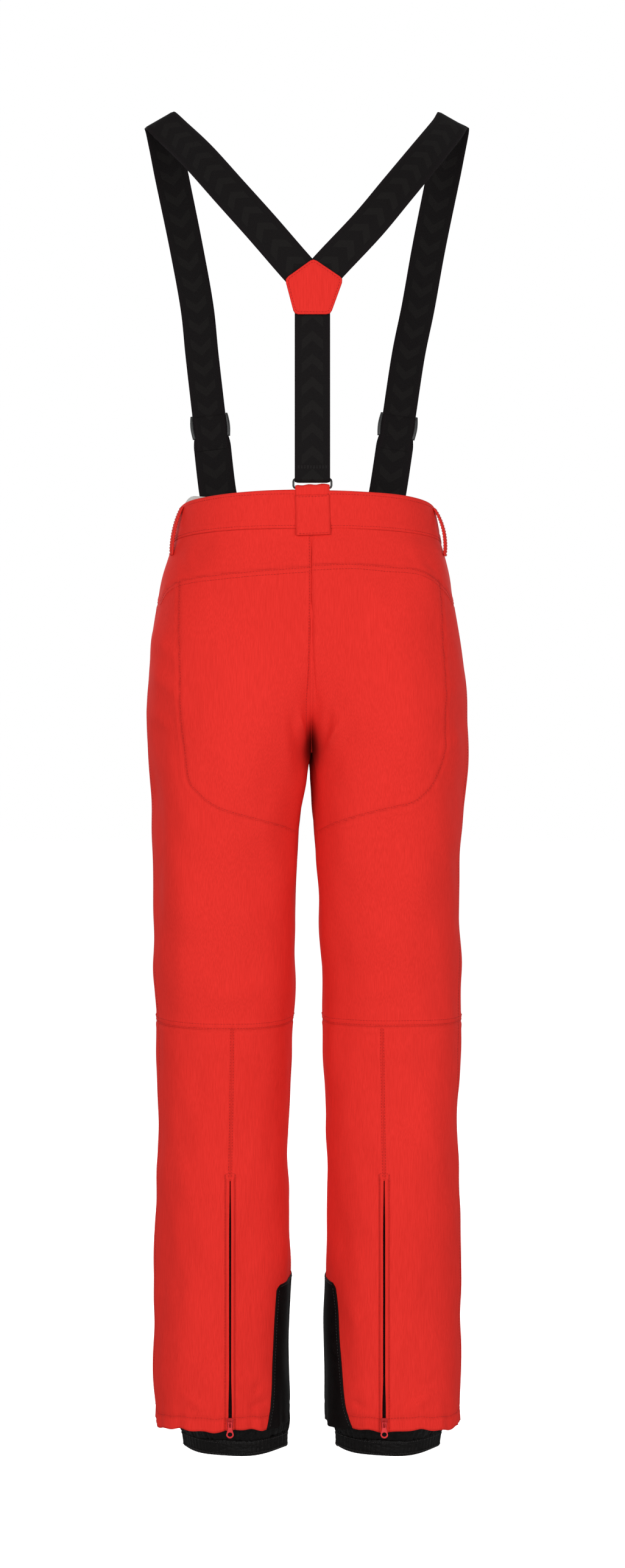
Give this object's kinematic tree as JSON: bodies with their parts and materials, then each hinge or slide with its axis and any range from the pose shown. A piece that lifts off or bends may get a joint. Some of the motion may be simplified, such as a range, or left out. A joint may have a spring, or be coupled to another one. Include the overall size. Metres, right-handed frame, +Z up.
{
  "type": "ski pants",
  "caption": "Full-length ski trousers hung from webbing braces, with back leg zips, inner snow gaiters, edge guards, hand pockets, a fly zip and slide adjusters.",
  "frame": {"origin": "middle of the waist opening, level with the waistband's top edge at the centre back", "axes": "+Z up towards the shoulders, +X to the wearer's left, -Y to the wearer's front"},
  "size_m": [0.3852, 0.234, 1.5935],
  "materials": {
    "softshell": "matt laminated softshell with a fine vertical grain and tonal topstitching",
    "lining": "light grey brushed knit",
    "webbing": "black elastic webbing with a tone-on-tone weave",
    "edge_guard": "black coated wear patch, stitched at its edge",
    "gaiter": "black crinkled nylon with a soft sheen",
    "elastic": "black gathered elastic",
    "plastic": "dark grey moulded acetal, satin",
    "zip_plastic": "dark nylon zip coil",
    "puller": "pinkish red moulded rubbery puller",
    "snap_metal": "dark painted snap cap",
    "steel": "plain steel hook"
  },
  "bodies": {
    "root": {"waistband": "softshell", "waistband_lining": "lining", "fly_shield": "softshell", "fly_zip_tape": "softshell", "fly_zip_coil": "zip_plastic", "back_patch": "softshell", "rear_strap": "webbing", "rear_tab": "softshell", "back_yoke_left": "softshell", "seat_panel_left": "softshell", "front_panel_left": "softshell", "left_thigh_panel": "softshell", "left_knee_panel": "softshell", "belt_loop_left": "softshell", "pocket_welt_left": "softshell", "pocket_bag_left": "lining", "shoulder_strap_left": "webbing", "front_anchor_left": "softshell", "back_yoke_right": "softshell", "seat_panel_right": "softshell", "front_panel_right": "softshell", "right_thigh_panel": "softshell", "right_knee_panel": "softshell", "belt_loop_right": "softshell", "pocket_welt_right": "softshell", "pocket_bag_right": "lining", "shoulder_strap_right": "webbing", "front_anchor_right": "softshell"},
    "left_lower_leg": {"left_calf_outer_panel": "softshell", "left_calf_inner_panel": "softshell", "left_edge_guard": "edge_guard", "left_leg_zip_tape": "softshell", "left_leg_zip_coil": "zip_plastic", "left_gaiter": "gaiter", "left_gaiter_elastic": "elastic", "left_boot_hook": "steel"},
    "left_leg_zip_slider": {"left_leg_zip_slider": "plastic"},
    "left_leg_zip_puller": {"left_leg_zip_puller": "puller"},
    "right_lower_leg": {"right_calf_outer_panel": "softshell", "right_calf_inner_panel": "softshell", "right_edge_guard": "edge_guard", "right_leg_zip_tape": "softshell", "right_leg_zip_coil": "zip_plastic", "right_gaiter": "gaiter", "right_gaiter_elastic": "elastic", "right_boot_hook": "steel"},
    "right_leg_zip_slider": {"right_leg_zip_slider": "plastic"},
    "right_leg_zip_puller": {"right_leg_zip_puller": "puller"},
    "fly_zip_slider": {"fly_zip_slider": "plastic"},
    "fly_zip_puller": {"fly_zip_puller": "puller"},
    "pocket_slider_left": {"pocket_slider_left": "plastic"},
    "pocket_puller_left": {"pocket_puller_left": "puller"},
    "adjuster_left": {"adjuster_left": "plastic"},
    "pocket_slider_right": {"pocket_slider_right": "plastic"},
    "pocket_puller_right": {"pocket_puller_right": "puller"},
    "adjuster_right": {"adjuster_right": "plastic"},
    "rear_ring": {"rear_ring": "plastic"},
    "rear_flap": {"rear_flap": "softshell"},
    "waist_tab": {"waist_tab": "softshell", "waist_snap": "snap_metal"}
  },
  "joints": [
    {"name": "left_knee", "type": "hinge", "parent": "root", "child": "left_lower_leg", "pos_m": [0.099, 0, -0.61], "axis": [1, 0, 0], "range_deg": [0, 80], "deforming": ["left_knee_panel"]},
    {"name": "left_leg_zip_slide", "type": "slide", "parent": "left_lower_leg", "child": "left_leg_zip_slider", "axis": [0.0001, -0.0075, 1], "range_m": [0, 0.266]},
    {"name": "left_leg_zip_puller_hinge", "type": "hinge", "parent": "left_leg_zip_slider", "child": "left_leg_zip_puller", "pos_m": [0.08798, 0.08528, -1.06028], "axis": [1, 0, 0], "range_deg": [0, 150]},
    {"name": "right_knee", "type": "hinge", "parent": "root", "child": "right_lower_leg", "pos_m": [-0.099, 0, -0.61], "axis": [1, 0, 0], "range_deg": [0, 80], "deforming": ["right_knee_panel"]},
    {"name": "right_leg_zip_slide", "type": "slide", "parent": "right_lower_leg", "child": "right_leg_zip_slider", "axis": [-0.0001, -0.0075, 1], "range_m": [0, 0.266]},
    {"name": "right_leg_zip_puller_hinge", "type": "hinge", "parent": "right_leg_zip_slider", "child": "right_leg_zip_puller", "pos_m": [-0.08798, 0.08528, -1.06028], "axis": [1, 0, 0], "range_deg": [0, 150]},
    {"name": "fly_zip_slide", "type": "slide", "parent": "root", "child": "fly_zip_slider", "axis": [0, 0.0166, 0.9999], "range_m": [-0.098, 0]},
    {"name": "fly_zip_puller_hinge", "type": "hinge", "parent": "fly_zip_slider", "child": "fly_zip_puller", "pos_m": [0, -0.11275, -0.07878], "axis": [-1, 0, 0], "range_deg": [0, 150]},
    {"name": "pocket_slide_left", "type": "slide", "parent": "root", "child": "pocket_slider_left", "axis": [-0.3483, -0.2514, 0.903], "range_m": [-0.125, 0]},
    {"name": "pocket_puller_hinge_left", "type": "hinge", "parent": "pocket_slider_left", "child": "pocket_puller_left", "pos_m": [0.13972, -0.08743, -0.08487], "axis": [-0.5066, -0.7601, -0.407], "range_deg": [0, 150]},
    {"name": "adjuster_slide_left", "type": "slide", "parent": "root", "child": "adjuster_left", "axis": [0.1327, -0.0582, 0.9894], "range_m": [-0.05, 0.06]},
    {"name": "pocket_slide_right", "type": "slide", "parent": "root", "child": "pocket_slider_right", "axis": [0.3483, -0.2514, 0.903], "range_m": [-0.125, 0]},
    {"name": "pocket_puller_hinge_right", "type": "hinge", "parent": "pocket_slider_right", "child": "pocket_puller_right", "pos_m": [-0.13972, -0.08743, -0.08487], "axis": [-0.5066, 0.7601, 0.407], "range_deg": [0, 150]},
    {"name": "adjuster_slide_right", "type": "slide", "parent": "root", "child": "adjuster_right", "axis": [-0.1327, -0.0582, 0.9894], "range_m": [-0.05, 0.06]},
    {"name": "rear_ring_tilt", "type": "hinge", "parent": "root", "child": "rear_ring", "pos_m": [-0.006, 0.1056, 0.0035], "axis": [1, 0, 0], "range_deg": [-6, 6]},
    {"name": "rear_flap_hinge", "type": "hinge", "parent": "root", "child": "rear_flap", "pos_m": [-0.006, 0.109, -0.006], "axis": [1, 0, 0], "range_deg": [0, 110]},
    {"name": "waist_tab_hinge", "type": "hinge", "parent": "root", "child": "waist_tab", "pos_m": [0.014, -0.1112, -0.039], "axis": [0, 0, 1], "range_deg": [0, 120]}
  ]
}
